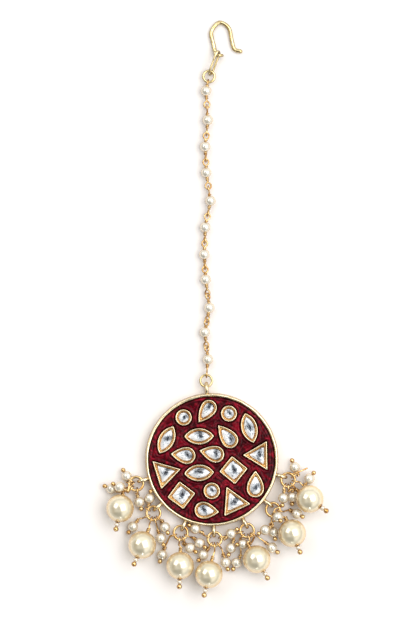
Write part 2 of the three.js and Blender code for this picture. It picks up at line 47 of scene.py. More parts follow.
TRAY_RADIUS = 18.8
TRAY_BACK_RADIUS = 19.05
RIM_WIDTH = 0.72
ENAMEL_TOP = 2.4
ENAMEL_FOOT = 1.25
LUG = {"radius": 1.4, "wire": 0.45, "height": 1.85, "reach": 20.3}
TOP_LUG = {"radius": 1.5, "wire": 0.45, "height": 1.95, "reach": 20.35, "bearing": 94}
JUMP_RING = {"radius": 1.95, "wire": 0.34, "height": 2.1, "reach": 2.28}
CHAIN_RING = {"radius": 1.67, "wire": 0.33, "height": 1.95, "reach": 2.24}
HOOK_RING = {"x": -0.77, "y": 109.3, "height": 1.4, "radius": 1.6, "wire": 0.38}
LARGE_PEARL = 4.0
SMALL_PEARL = 1.5
HOOK_EYE = {"x": 2.0, "y": 115.3, "radius": 1.0, "wire": 0.42}
LOOP_SLACK = 0.2
# solder makes a lug's wire this much thicker, and plating a jump ring's wire by this share
LUG_SOLDER = 0.06
RING_PLATING = 1.12
COIL_PITCH = 0.48
COIL_WIRE = 0.19
PIN_WIRE = 0.2
# places along the pin of a large drop, from the pearl's centre, and their sizes
LARGE_PIN = {"seed": 4.82, "seed_radius": 0.74, "tip": 6.0, "ball": 6.12, "ball_radius": 0.76}
SMALL_PIN = {"tip": 0.5, "ball": 0.56, "ball_radius": 0.66}
HOOK_LINK = {
    "wire": 0.31, "half_width": 1.1, "bearing": 66, "twist": 66, "past_eye": 0.85, "inside_ring": 0.82,
}
HOOK_WIRE = 0.6
# steps of the hook's course between one beaten flat and the next
FLAT_STEPS = 5

# x, y, width across
ROUND_STONES = [
    (-8.0, 12.1, 4.7),
    (4.9, 13.2, 4.65),
    (0.0, -8.8, 4.8),
]
# tip x, tip y, round end's centre x, y, and its radius
PEAR_STONES = [
    (-3.8, 10.6, -0.8, 14.85, 2.3),
    (1.8, 9.95, 5.2, 5.7, 2.4),
    (-11.75, 1.7, -7.05, 1.25, 2.45),
    (-3.55, 2.7, 1.2, 1.6, 2.4),
    (12.5, -3.0, 12.4, -8.2, 2.5),
    (2.15, -14.85, -2.5, -14.3, 2.45),
]
# start x, y, end x, y, width
MARQUISE_STONES = [
    (9.5, 13.4, 11.9, 4.8, 4.7),
    (-14.9, 1.8, -10.9, 9.65, 4.6),
    (-7.9, 6.65, 0.7, 6.8, 4.7),
    (-7.9, -3.9, 0.7, -3.45, 4.8),
]
# three corners
TRIANGLE_STONES = [
    ((8.7, 1.4), (15.9, -3.0), (15.75, 5.5)),
    ((-17.0, -0.2), (-14.4, -8.45), (-8.7, -2.6)),
    ((4.15, -7.5), (3.5, -16.1), (11.15, -12.55)),
]
# x, y, side, turn
SQUARE_STONES = [
    (6.2, -2.9, 5.85, -39),
    (-8.65, -10.05, 5.8, -37),
]
# bearing of the lug, bearing of its jump ring from it
LUGS = [
    (196.4, 208),
    (221, 236),
    (246.9, 247),
    (271.8, 275),
    (297.9, 285),
    (322.5, 306),
    (346.9, 330),
]
# x, y, bearing and lean of the pin, bearing of the loop on the jump ring
LARGE_DROPS = [
    (-26.1, -13.75, 259, 14, 225),
    (-19.8, -24.15, 247, 18, 250),
    (-9.0, -30.05, 268, 16, 262),
    (-0.8, -32.55, 257, 12, 270),
    (12.8, -28.25, 300, 4, 285),
    (22.9, -20.85, 293, 22, 315),
    (27.9, -11.1, 325, 22, 312),
]
# lug, x, y, z, bearing and lean of the pin, bearing of the loop on the jump ring
SMALL_DROPS = [
    (1, -24.2, -4.7, 1.6, 120, 0, 150),
    (1, -26.2, -7.65, 3.9, 155, 0, 172),
    (1, -28.6, -8.2, 1.5, 159, 8, 202),
    (1, -20.6, -12.0, 1.5, 285, 0, 280),
    (2, -17.7, -11.0, 1.5, 82, 0, 145),
    (2, -22.45, -19.05, 1.5, 233, 0, 205),
    (2, -13.3, -19.2, 1.85, 297, 32, 315),
    (2, -14.4, -22.35, 1.5, 291, 12, 285),
    (3, -14.1, -27.1, 1.5, 250, 18, 200),
    (3, -6.15, -25.1, 1.55, 325, 22, 295),
    (3, -3.4, -23.7, 1.7, 321, 25, 335),
    (4, -4.65, -19.65, 1.9, 151, 0, 160),
    (4, -2.4, -27.05, 1.5, 231, 0, 235),
    (4, 5.55, -21.05, 1.9, 37, 0, 15),
    (4, 4.0, -29.2, 1.5, 287, 0, 305),
    (5, 5.5, -25.15, 1.5, 251, 0, 195),
    (5, 8.95, -24.0, 1.85, 184, 32, 315),
    (5, 7.1, -29.35, 1.5, 242, 0, 232),
    (5, 17.2, -25.05, 1.5, 321, 0, 330),
    (6, 15.2, -19.95, 3.3, 209, 0, 262),
    (6, 18.8, -16.15, 5.1, 306, 52, 20),
    (6, 24.3, -15.35, 1.8, 333, 30, 350),
    (6, 17.5, -20.6, 1.5, 287, 0, 288),
    (7, 23.7, -2.1, 1.5, 112, 0, 35),
    (7, 27.85, -5.35, 1.9, 53, 0, 350),
    (7, 20.4, -10.85, 3.1, 262, 0, 240),
    (7, 23.0, -10.6, 1.5, 268, -15, 272),
]
# a bare wire end on the last jump ring
WIRE_TAIL = {"lug": 7, "hang": 60, "end": (27.2, -2.4, 1.7)}
# x, y, and how far the loop below is turned from lying flat
CHAIN_PEARLS = [
    (-1.6, 105.2, 0),
    (-1.1, 96.9, 85),
    (-1.85, 89.3, 80),
    (-1.55, 81.9, 0),
    (-0.35, 73.85, 80),
    (-1.85, 66.3, 75),
    (-2.1, 58.55, 75),
    (-1.7, 51.4, 40),
    (-0.65, 43.35, 50),
    (-1.95, 36.35, 40),
    (-1.05, 28.6, 90),
]
# x, y, z of the hook's middle line, from its eye to its tip
HOOK_COURSE = [
    (0.9, 116.6, 1.0),
    (0.55, 118.3, 0.7),
    (-0.1, 122.0, 0.6),
    (2.2, 124.7, 0.6),
    (4.85, 123.2, 0.6),
    (5.75, 119.4, 0.6),
    (6.5, 117.1, 0.6),
    (8.2, 116.5, 0.6),
]


# ---- Vectors --------------------------------------------------------------------------------


def vector(*parts):
    return np.array(parts, dtype=float)


def unit(v):
    return v / np.linalg.norm(v)


def heading(bearing, lean=0.0):
    """A unit vector that points along a bearing and leans up by an angle."""
    b, e = math.radians(bearing), math.radians(lean)
    return vector(math.cos(e) * math.cos(b), math.cos(e) * math.sin(b), math.sin(e))


def turned_about(v, axis, degrees):
    a = math.radians(degrees)
    return v * math.cos(a) + np.cross(axis, v) * math.sin(a) + axis * np.dot(axis, v) * (1 - math.cos(a))


def square_to(axis):
    """Two unit vectors square to an axis and to each other."""
    helper = UP if abs(axis[2]) < 0.9 else vector(1, 0, 0)
    side = unit(np.cross(helper, axis))
    return side, np.cross(axis, side)


def smoothed(points, steps, closed=False):
    """A rounded course through the points."""
    p = [vector(*q) for q in points]
    n = len(p)
    spans = n if closed else n - 1
    course = []
    for i in range(spans):
        if closed:
            a, b, c, d = p[i - 1], p[i], p[(i + 1) % n], p[(i + 2) % n]
        else:
            b, c = p[i], p[i + 1]
            a = p[i - 1] if i > 0 else 2 * b - c
            d = p[i + 2] if i + 2 < n else 2 * c - b
        for k in range(steps):
            t = k / steps
            square, cube = 2 * a - 5 * b + 4 * c - d, 3 * b - a - 3 * c + d
            course.append(0.5 * (2 * b + (c - a) * t + square * t * t + cube * t ** 3))
    if not closed:
        course.append(p[-1])
    return course


# ---- Meshes ---------------------------------------------------------------------------------


class Piece:
    """Closed shells in millimetres, gathered before they become one object."""

    def __init__(self):
        self.points = []
        self.faces = []
        self.looks = []
        self.smooth = []

    def add(self, points, faces, look=0, smooth=True):
        """Adds faces whose corners count from the first of these points."""
        base = len(self.points)
        self.points.extend(tuple(float(c) for c in p) for p in points)
        self.faces.extend([base + int(i) for i in face] for face in faces)
        self.looks.extend([look] * len(faces))
        self.smooth.extend([smooth] * len(faces))

    def rows(self, rows, looks=0, start_cap=None, end_cap=None, closed=False):
        """Skins rows of points; a cap is a look for a flat end, or None where a row is a pole."""
        n = max(len(row) for row in rows)
        points = [p for row in rows for p in row]
        starts = np.cumsum([0] + [len(row) for row in rows])
        pairs = [(i, i + 1) for i in range(len(rows) - 1)]
        if closed:
            pairs.append((len(rows) - 1, 0))
        by_look = {}
        for k, (i, j) in enumerate(pairs):
            look = looks[k] if isinstance(looks, (list, tuple)) else looks
            faces = by_look.setdefault(look, [])
            for s in range(n):
                t = (s + 1) % n
                a, b = starts[i] + s, starts[i] + t
                c, d = starts[j] + t, starts[j] + s
                if len(rows[i]) == 1:
                    faces.append([starts[i], c, d])
                elif len(rows[j]) == 1:
                    faces.append([a, b, starts[j]])
                else:
                    faces.append([a, b, c, d])
        if start_cap is not None:
            by_look.setdefault(start_cap, []).append(list(range(starts[1] - 1, -1, -1)))
        if end_cap is not None:
            by_look.setdefault(end_cap, []).append(list(range(starts[-2], starts[-1])))
        base = len(self.points)
        self.add(points, [])
        for look, faces in by_look.items():
            self.faces.extend([base + int(i) for i in face] for face in faces)
            self.looks.extend([look] * len(faces))
            self.smooth.extend([True] * len(faces))

    def wire(self, course, radius, sides=8, closed=False, uneven=0.0, seed=0):
        """A round wire with rounded ends; uneven is how far hammering moves its skin."""
        course = [vector(*p) for p in course]
        n = len(course)
        ahead = []
        for i in range(n):
            if closed:
                ahead.append(unit(course[(i + 1) % n] - course[i - 1]))
            else:
                ahead.append(unit(course[min(i + 1, n - 1)] - course[max(i - 1, 0)]))
        side, _ = square_to(ahead[0])
        sides_at = [side]
        for i in range(1, n):
            side = unit(side - ahead[i] * np.dot(side, ahead[i]))
            sides_at.append(side)
        twist = 0.0
        if closed:
            last = unit(side - ahead[0] * np.dot(side, ahead[0]))
            across = np.cross(ahead[0], sides_at[0])
            twist = -math.atan2(np.dot(last, across), np.dot(last, sides_at[0]))
        shaker = random.Random(seed)
        radii = radius if isinstance(radius, (list, tuple)) else [radius] * n

        def circle(centre, along, across, size, turn):
            third = np.cross(along, across)
            row = []
            for s in range(sides):
                a = 2 * math.pi * s / sides + turn
                dent = 1 + uneven * (shaker.random() - 0.5) * 2
                row.append(centre + size * dent * (math.cos(a) * across + math.sin(a) * third))
            return row

        rows = [
            circle(course[i], ahead[i], sides_at[i], radii[i], twist * i / n) for i in range(n)
        ]
        if closed:
            self.rows(rows, closed=True)
            return
        for sign, index in ((-1, 0), (1, n - 1)):
            centre, along, across, size = course[index], ahead[index], sides_at[index], radii[index]
            cap = [
                circle(centre + sign * along * size * math.sin(a), along, across, size * math.cos(a), 0)
                for a in (0.55, 1.1)
            ]
            cap.append([centre + sign * along * size])
            rows = cap[::-1] + rows if sign < 0 else rows + cap
        self.rows(rows)

    def turned(self, centre, axis, profile, sides, closed=False):
        """A profile of (along, out) points turned about an axis; out is 0 at a pole."""
        axis = unit(axis)
        across, third = square_to(axis)
        rows = []
        for along, out in profile:
            if out == 0:
                rows.append([centre + axis * along])
                continue
            rows.append([
                centre + axis * along + out * (math.cos(a) * across + math.sin(a) * third)
                for a in (2 * math.pi * s / sides for s in range(sides))
            ])
        self.rows(rows, closed=closed)

    def make(self, name, node, slot, materials, attributes=None):
        """Makes the object, in metres, standing for its node of the frame."""
        mesh = bpy.data.meshes.new(name)
        scaled = (np.array(self.points) * MM).tolist()
        mesh.from_pydata(scaled, [], self.faces)
        mesh.polygons.foreach_set("material_index", self.looks)
        mesh.polygons.foreach_set("use_smooth", self.smooth)
        for key, (domain, values) in (attributes or {}).items():
            layer = mesh.attributes.new(key, "FLOAT", domain)
            layer.data.foreach_set("value", values)
        mesh.update()
        turn = bmesh.new()
        turn.from_mesh(mesh)
        bmesh.ops.recalc_face_normals(turn, faces=turn.faces)
        turn.to_mesh(mesh)
        turn.free()
        for material in materials:
            mesh.materials.append(material)
        obj = bpy.data.objects.new(name, mesh)
        bpy.context.scene.collection.objects.link(obj)
        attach(obj, "root")
        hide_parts(node)


# ---- Materials ------------------------------------------------------------------------------


def new_material(name):
    material = bpy.data.materials.new(name)
    material.use_nodes = True
    nodes, links = material.node_tree.nodes, material.node_tree.links
    return material, nodes, links, nodes["Principled BSDF"]


def ramp(nodes, links, source, stops):
    """Colours at places along a value."""
    node = nodes.new("ShaderNodeValToRGB")
    elements = node.color_ramp.elements
    while len(elements) < len(stops):
        elements.new(0.5)
    for element, (place, color) in zip(elements, stops):
        element.position = place
        element.color = (*color, 1)
    links.new(source, node.inputs["Fac"])
    return node.outputs["Color"]


def noise(nodes, links, scale, detail=4, distortion=0.0):
    """Cloudy noise fixed to the object; scale counts its lumps in a metre."""
    place = nodes.new("ShaderNodeTexCoord")
    node = nodes.new("ShaderNodeTexNoise")
    node.inputs["Scale"].default_value = scale
    node.inputs["Detail"].default_value = detail
    node.inputs["Distortion"].default_value = distortion
    links.new(place.outputs["Object"], node.inputs["Vector"])
    return node.outputs["Fac"]


def bump(nodes, links, height, strength, distance, shader):
    node = nodes.new("ShaderNodeBump")
    node.inputs["Strength"].default_value = strength
    node.inputs["Distance"].default_value = distance
    links.new(height, node.inputs["Height"])
    links.new(node.outputs["Normal"], shader.inputs["Normal"])


def blend(nodes, links, factor, first, second, kind="MIX"):
    """Two colours mixed by a factor; the factor and the second colour may be constants."""
    mix = nodes.new("ShaderNodeMix")
    mix.data_type = "RGBA"
    mix.blend_type = kind
    if isinstance(factor, float):
        mix.inputs["Factor"].default_value = factor
    else:
        links.new(factor, mix.inputs["Factor"])
    links.new(first, mix.inputs["A"])
    if isinstance(second, tuple):
        mix.inputs["B"].default_value = (*second, 1)
    else:
        links.new(second, mix.inputs["B"])
    return mix.outputs["Result"]


def grazing(nodes, links, low, high):
    """From 0 where a surface faces the eye to 1 where it turns away."""
    weight = nodes.new("ShaderNodeLayerWeight")
    weight.inputs["Blend"].default_value = 0.5
    return ramp(nodes, links, weight.outputs["Facing"], [(low, (0, 0, 0)), (high, (1, 1, 1))])


def gold(name, pale, deep, painted_edge_shade, rough_low, rough_high, hammer):
    """Plated metal: a drift between two golds, painted shade that darkens it where it turns away, smears
    and fine dents.
    """
    material, nodes, links, shader = new_material(name)
    drift = noise(nodes, links, 0.4 * hammer, 5, 0.4)
    body = ramp(nodes, links, drift, [(0.32, deep), (0.62, pale)])
    # painted shade: the gold goes to its edge colour where the surface turns away from the eye
    color = blend(nodes, links, grazing(nodes, links, 0.22, 0.72), body, painted_edge_shade)
    links.new(color, shader.inputs["Base Color"])
    smear = noise(nodes, links, 1500, 3)
    low, high = (rough_low,) * 3, (rough_high,) * 3
    polish = ramp(nodes, links, smear, [(0.3, low), (0.75, high)])
    links.new(polish, shader.inputs["Roughness"])
    dents = noise(nodes, links, hammer, 2)
    bump(nodes, links, dents, 0.35, 0.00006, shader)
    shader.inputs["Metallic"].default_value = 1.0
    return material


def pearl_material(name, body, glow, painted_gold_reflection):
    """Nacre: a cream body with a painted warm reflection of the gold at its edge, under a clear skin
    with faint growth waves.
    """
    material, nodes, links, shader = new_material(name)
    cloud = noise(nodes, links, 260, 4, 0.6)
    tint = ramp(nodes, links, cloud, [(0.3, body), (0.7, glow)])
    # painted reflection: the nacre turns to a warm gold colour at its rim, standing in for the gold
    # mirrored there
    color = blend(nodes, links, grazing(nodes, links, 0.3, 0.75), tint, painted_gold_reflection)
    links.new(color, shader.inputs["Base Color"])
    waves = noise(nodes, links, 1900, 3, 0.2)
    bump(nodes, links, waves, 0.2, 0.00004, shader)
    shader.inputs["Roughness"].default_value = 0.17
    shader.inputs["Metallic"].default_value = 0.45
    shader.inputs["Coat Weight"].default_value = 1.0
    shader.inputs["Coat Roughness"].default_value = 0.05
    shader.inputs["Coat IOR"].default_value = 1.9
    return material


def enamel_material():
    """Dark red glass enamel: almost black where it meets the gold, a painted pinkish highlight along the
    low ridge beside it, and brighter streaks between.
    """
    material, nodes, links, shader = new_material("enamel_red")
    shore = nodes.new("ShaderNodeAttribute")
    shore.attribute_name = "shore"
    reach = nodes.new("ShaderNodeMapRange")
    reach.inputs["From Min"].default_value = 0.0
    reach.inputs["From Max"].default_value = 2.0
    links.new(shore.outputs["Fac"], reach.inputs["Value"])
    # colour by distance from the shore: almost black at the gold, a painted highlight on the ridge about
    # 0.72 mm out, then deep red
    shore_tone_and_ridge_highlight = ramp(nodes, links, reach.outputs["Result"], [
        (0.0, (0.003, 0.0, 0.001)),
        (0.07, (0.006, 0.0002, 0.001)),
        (0.14, (0.08, 0.0006, 0.005)),
        (0.36, (0.16, 0.006, 0.018)),
        (0.48, (0.08, 0.0003, 0.005)),
        (1.0, (0.105, 0.0004, 0.007)),
    ])
    streaks = noise(nodes, links, 330, 6, 2.2)
    fire = ramp(nodes, links, streaks, [
        (0.38, (0.35, 0.3, 0.3)),
        (0.5, (0.8, 0.8, 0.8)),
        (0.68, (2.6, 1.9, 1.9)),
    ])
    links.new(blend(nodes, links, 1.0, shore_tone_and_ridge_highlight, fire, "MULTIPLY"), shader.inputs["Base Color"])
    grain = noise(nodes, links, 900, 4, 1.0)
    bump(nodes, links, grain, 0.3, 0.00005, shader)
    shader.inputs["Roughness"].default_value = 0.25
    shader.inputs["Specular IOR Level"].default_value = 0.06
    shader.inputs["Coat Weight"].default_value = 0.1
    shader.inputs["Coat Roughness"].default_value = 0.06
    return material


def crystal_material():
    """A foil-backed stone: each facet's colour is a painted reflection, light or dark, from a value of
    its own.
    """
    material, nodes, links, shader = new_material("crystal_foiled")
    tone = nodes.new("ShaderNodeAttribute")
    tone.attribute_name = "tone"
    # painted reflection: each facet's value runs from near black for a dark reflection to white for a
    # bright one
    color = ramp(nodes, links, tone.outputs["Fac"], [
        (0.0, (0.008, 0.011, 0.02)),
        (0.35, (0.13, 0.15, 0.18)),
        (0.7, (0.66, 0.71, 0.77)),
        (1.0, (1.0, 1.0, 1.0)),
    ])
    flecks = noise(nodes, links, 900, 2, 1.0)
    cloud = ramp(nodes, links, flecks, [(0.36, (0.62, 0.66, 0.7)), (0.5, (1.0, 1.0, 1.0))])
    links.new(blend(nodes, links, 0.45, color, cloud, "MULTIPLY"), shader.inputs["Base Color"])
    shader.inputs["Metallic"].default_value = 0.12
    shader.inputs["Roughness"].default_value = 0.2
    shader.inputs["Coat Weight"].default_value = 1.0
    shader.inputs["Coat Roughness"].default_value = 0.02
    return material


# name, pale, deep and painted edge shade colours, lowest and highest roughness, dents in a metre
PALE_GOLD = gold(
    "gold_pale", (0.94, 0.84, 0.60), (0.80, 0.64, 0.38), (0.45, 0.25, 0.07), 0.12, 0.3, 1600,
)
WIRE_GOLD = gold(
    "gold_wire", (0.95, 0.71, 0.36), (0.58, 0.30, 0.08), (0.20, 0.06, 0.01), 0.08, 0.24, 2400,
)
HOOK_GOLD = gold(
    "gold_hook", (0.90, 0.76, 0.44), (0.74, 0.56, 0.26), (0.16, 0.10, 0.03), 0.08, 0.24, 1500,
)
# the cup gold is a darker, more orange copy of the gold: painted shade for the collets' inner slopes
SHADED_CUP_GOLD = gold(
    "gold_cup_shaded", (0.90, 0.60, 0.24), (0.45, 0.21, 0.06), (0.62, 0.32, 0.09), 0.18, 0.4, 1300,
)
# name, body, glow and painted warm edge reflection colours
LARGE_NACRE = pearl_material("nacre_large", (0.79, 0.71, 0.50), (0.87, 0.80, 0.61), (0.78, 0.49, 0.15))
SMALL_NACRE = pearl_material("nacre_small", (0.78, 0.73, 0.61), (0.84, 0.80, 0.70), (0.70, 0.45, 0.18))
ENAMEL = enamel_material()
CRYSTAL = crystal_material()


# ---- Outlines of the stones' collets --------------------------------------------------------


def counter_clockwise(points):
    p = np.array(points, dtype=float)
    q = np.roll(p, -1, axis=0)
    area = (p[:, 0] * q[:, 1] - p[:, 1] * q[:, 0]).sum()
    return p if area > 0 else p[::-1]


def round_outline(x, y, across):
    angles = np.linspace(0, 2 * math.pi, 44, endpoint=False)
    ring = np.stack([x + across / 2 * np.cos(angles), y + across / 2 * np.sin(angles)], axis=1)
    return ring, vector(x, y)


def quadratic(a, b, c, steps):
    return [(1 - t) ** 2 * a + 2 * t * (1 - t) * b + t * t * c for t in np.arange(steps) / steps]


def pear_outline(tip_x, tip_y, end_x, end_y, radius):
    tip, end = vector(tip_x, tip_y), vector(end_x, end_y)
    along = unit(tip - end)
    across = vector(-along[1], along[0])
    bow = 0.45 * np.linalg.norm(tip - end)
    left, right = end + radius * across, end - radius * across
    start = math.atan2(across[1], across[0])
    points = [
        end + radius * vector(math.cos(start + a), math.sin(start + a))
        for a in np.linspace(0, math.pi, 20, endpoint=False)
    ]
    points += quadratic(right, right + bow * along, tip, 12)
    points += quadratic(tip, left + bow * along, left, 12)
    return counter_clockwise(points), end


def marquise_outline(start_x, start_y, end_x, end_y, width):
    start, end = vector(start_x, start_y), vector(end_x, end_y)
    middle, half = (start + end) / 2, np.linalg.norm(end - start) / 2
    along = unit(end - start)
    across = vector(-along[1], along[0])
    arc = (half ** 2 + (width / 2) ** 2) / width
    sweep = math.asin(half / arc)
    points = []
    for side in (-1, 1):
        for a in np.linspace(-sweep, sweep, 18, endpoint=False):
            run = -side * arc * math.sin(a)
            rise = side * (arc * math.cos(a) - arc + width / 2)
            points.append(middle + run * along + rise * across)
    return counter_clockwise(points), middle


def cornered_outline(corners, rounding=0.45):
    corners = counter_clockwise(corners)
    n = len(corners)
    points = []
    for i in range(n):
        corner = corners[i]
        enter = corner + rounding * unit(corners[i - 1] - corner)
        leave = corner + rounding * unit(corners[(i + 1) % n] - corner)
        points += quadratic(enter, corner, leave, 5)
        ahead = corners[(i + 1) % n] + rounding * unit(corner - corners[(i + 1) % n])
        points += [leave + (ahead - leave) * t for t in np.arange(6) / 6]
    if n == 4:
        return np.array(points), corners.mean(axis=0)
    # a triangle's middle is where its largest circle sits: corners weighed by the sides they face
    facing = [np.linalg.norm(corners[(i + 2) % n] - corners[(i + 1) % n]) for i in range(n)]
    middle = (corners * np.array(facing)[:, None]).sum(axis=0) / sum(facing)
    return np.array(points), middle


def square_outline(x, y, side, turn):
    reach = side / math.sqrt(2)
    corners = [vector(x, y) + reach * heading(turn + a)[:2] for a in (45, 135, 225, 315)]
    return cornered_outline(corners)


# node, outline, centre, and how many facets go round the stone
SETTINGS = (
    [(f"stone_round_{i + 1}", *round_outline(*row), 12) for i, row in enumerate(ROUND_STONES)]
    + [(f"stone_pear_{i + 1}", *pear_outline(*row), 14) for i, row in enumerate(PEAR_STONES)]
    + [(f"stone_marquise_{i + 1}", *marquise_outline(*row), 14) for i, row in enumerate(MARQUISE_STONES)]
    + [(f"stone_triangle_{i + 1}", *cornered_outline(row), 12) for i, row in enumerate(TRIANGLE_STONES)]
    + [(f"stone_square_{i + 1}", *square_outline(*row), 12) for i, row in enumerate(SQUARE_STONES)]
)


def inset_ring(outline, centre, distance):
    """The outline moved inwards, with a point on the line from the centre to each of its points."""
    sides = np.roll(outline, -1, axis=0) - outline
    outward = np.stack([sides[:, 1], -sides[:, 0]], axis=1)
    outward /= np.linalg.norm(outward, axis=1)[:, None]
    height = ((outline - centre) * outward).sum(axis=1)
    rays = outline - centre
    rays = rays / np.linalg.norm(rays, axis=1)[:, None]
    facing = rays @ outward.T
    runs = (height - distance)[None, :] / np.maximum(facing, 1e-6)
    reach = np.where(facing > 1e-6, runs, 1e9).min(axis=1)
    return centre + rays * reach[:, None]


# ---- The pendant ----------------------------------------------------------------------------


def wobble(x, y, size):
    """A smooth uneven field between about -1 and 1."""
    x, y = x / size, y / size
    return (
        np.sin(1.3 * x + 2.1 * np.sin(0.7 * y + 0.4))
        + np.sin(1.9 * y - 1.7 * np.sin(0.9 * x + 1.1))
        + 0.6 * np.sin(2.7 * x + 3.1 * y + 0.5)
    ) / 2.6


def make_tray():
    """The shallow round tray, with a softly hammered rim and side."""
    top, back = TRAY_RADIUS, TRAY_BACK_RADIUS
    inner = top - RIM_WIDTH
    # out from the middle, height
    profile = [
        (0, 0), (back - 0.25, 0), (back - 0.06, 0.07), (back, 0.28), (back - 0.08, 1.0),
        (top + 0.14, 1.9), (top + 0.08, 2.7), (top + 0.03, 3.0), (top - 0.07, 3.16),
        (top - 0.2, 3.23), (top - 0.36, 3.25), (inner + 0.18, 3.22), (inner + 0.05, 3.12), (inner, 2.95),
        (inner, 1.2), (0, 1.2),
    ]
    sectors = 360
    rows = []
    for out, z in profile:
        if out == 0:
            rows.append([vector(0, 0, z)])
            continue
        row = []
        for s in range(sectors):
            a = 2 * math.pi * s / sectors
            dent = 0.0
            if z > 0.1 and out > inner:
                dent = 0.045 * float(wobble(np.float64(22 * a), np.float64(z), 1.0))
            lift = 0.03 * float(wobble(np.float64(17 * a + 3), np.float64(out), 1.3)) if z > 3 else 0.0
            out_here = min(out + dent, back)
            row.append(vector(out_here * math.cos(a), out_here * math.sin(a), z + lift))
        rows.append(row)
    piece = Piece()
    piece.rows(rows)
    piece.make("pendant_tray", "pendant_frame", "gold", [PALE_GOLD])


def ring_course(centre, normal, radius, steps=36):
    across, third = square_to(unit(normal))
    return [
        centre + radius * (math.cos(a) * across + math.sin(a) * third)
        for a in np.linspace(0, 2 * math.pi, steps, endpoint=False)
    ]


def make_lugs():
    """The rings soldered on edge round the tray."""
    piece = Piece()
    rows = [(LUG, bearing) for bearing, _ in LUGS] + [(TOP_LUG, TOP_LUG["bearing"])]
    for i, (lug, bearing) in enumerate(rows):
        centre = heading(bearing) * lug["reach"]
        centre[2] = lug["height"]
        course = ring_course(centre, heading(bearing + 90), lug["radius"], 40)
        piece.wire(course, lug["wire"] + LUG_SOLDER, 12, closed=True, uneven=0.03, seed=i)
    piece.make("pendant_lugs", "pendant_frame", "gold", [PALE_GOLD])


# how far in from the outline, height, and look: 0 for the lip and 1 for the cup, whose darker gold is
# painted shade
COLLET_PROFILE = [
    (0.0, 1.3, 0), (0.0, 3.3, 0), (0.05, 3.48, 0), (0.14, 3.58, 0), (0.25, 3.6, 0), (0.35, 3.56, 0),
    (0.42, 3.44, 0), (0.45, 3.05, 1), (0.54, 3.0, 1), (0.62, 3.2, 1), (0.72, 3.18, 1),
    (0.96, 2.9, 1), (1.15, 2.74, 1),
]


def make_collet(name, outline, centre, seed):
    """A cup of sheet metal with a rounded lip, a crease inside it and a sloping seat."""
    shaker = random.Random(seed)
    phase = shaker.uniform(0, 6)
    rows, looks = [], []
    for distance, z, look in COLLET_PROFILE:
        ring = inset_ring(outline, centre, distance)
        lip = 0.03 if z > 3.3 else 0.0
        dent = wobble(ring[:, 0] + phase, ring[:, 1], 0.8) * lip
        rows.append([vector(p[0], p[1], z + d) for p, d in zip(ring, dent)])
        looks.append(look)
    piece = Piece()
    piece.rows(rows, looks[1:], start_cap=0, end_cap=1)
    piece.make(name.replace("stone", "collet"), "pendant_frame", "gold", [PALE_GOLD, SHADED_CUP_GOLD])


def evenly_along(outline, count):
    """Points at equal steps along a closed outline, from its first point."""
    closed = np.vstack([outline, outline[:1]])
    lengths = np.linalg.norm(np.diff(closed, axis=0), axis=1)
    run = np.concatenate([[0], np.cumsum(lengths)])
    places = np.linspace(0, run[-1], count, endpoint=False)
    return np.stack([np.interp(places, run, closed[:, axis]) for axis in (0, 1)], axis=1)


def make_stone(name, outline, centre, count, seed):
    """A cut stone: girdle, stepped crown facets and a slightly hollow top, with a point below."""
    shaker = random.Random(seed)
    girdle = evenly_along(inset_ring(outline, centre, 0.92), count)
    halfway = (girdle + np.roll(girdle, -1, axis=0)) / 2
    size = np.linalg.norm(girdle - centre, axis=1).mean()
    levels = [
        (girdle, 1.0, 3.28), (girdle, 1.0, 3.36), (halfway, 0.84, 3.66), (girdle, 0.62, 3.86),
        (halfway, 0.42, 3.94), (girdle, 0.22, 3.92),
    ]
    piece = Piece()
    points, starts = [], []
    for level, (ring, share, z) in enumerate(levels):
        starts.append(len(points))
        jitter = 0.02 if level > 1 else 0.0
        for p in ring:
            q = centre + share * (p - centre)
            points.append(vector(q[0], q[1], z + shaker.uniform(-jitter, jitter)))
    peak, point = len(points), len(points) + 1
    points += [vector(centre[0], centre[1], 3.9), vector(centre[0], centre[1], 2.95)]
    faces = []
    n = count
    for s in range(n):
        t = (s + 1) % n
        faces.append([starts[0] + s, starts[0] + t, starts[1] + t, starts[1] + s])
        faces.append([point, starts[0] + t, starts[0] + s])
        for lower, upper, ahead in ((1, 2, True), (2, 3, False), (3, 4, True), (4, 5, False)):
            a, b = starts[lower] + s, starts[lower] + t
            if ahead:
                faces.append([a, b, starts[upper] + s])
                faces.append([b, starts[upper] + t, starts[upper] + s])
            else:
                faces.append([a, b, starts[upper] + t])
                faces.append([a, starts[upper] + t, starts[upper] + s])
        faces.append([starts[5] + s, starts[5] + t, peak])
    piece.add(points, faces, smooth=False)
    # painted reflection: the dark reflection is a slanting patch, up and to the right of the middle, and
    # about a fifth of the facets are painted darker at random
    dark = vector(0.15 + shaker.uniform(-0.1, 0.1), 0.2 + shaker.uniform(-0.1, 0.1))
    slant = heading(shaker.uniform(20, 150))[:2]
    facet_reflections = []
    for face in faces:
        middle = np.mean([points[i] for i in face], axis=0)
        away = (middle[:2] - centre) / size - dark
        along, across = np.dot(away, slant), away[0] * slant[1] - away[1] * slant[0]
        near_dark = math.exp(-((along / 0.75) ** 2 + (across / 0.4) ** 2))
        tone = 1.06 - 1.3 * near_dark * shaker.uniform(0.6, 1.0)
        if shaker.random() < 0.22:
            tone -= shaker.uniform(0.2, 0.5)
        facet_reflections.append(min(1.0, max(0.0, tone)))
    piece.make(f"{name}_cut", name, "crystal", [CRYSTAL], {"tone": ("FACE", facet_reflections)})


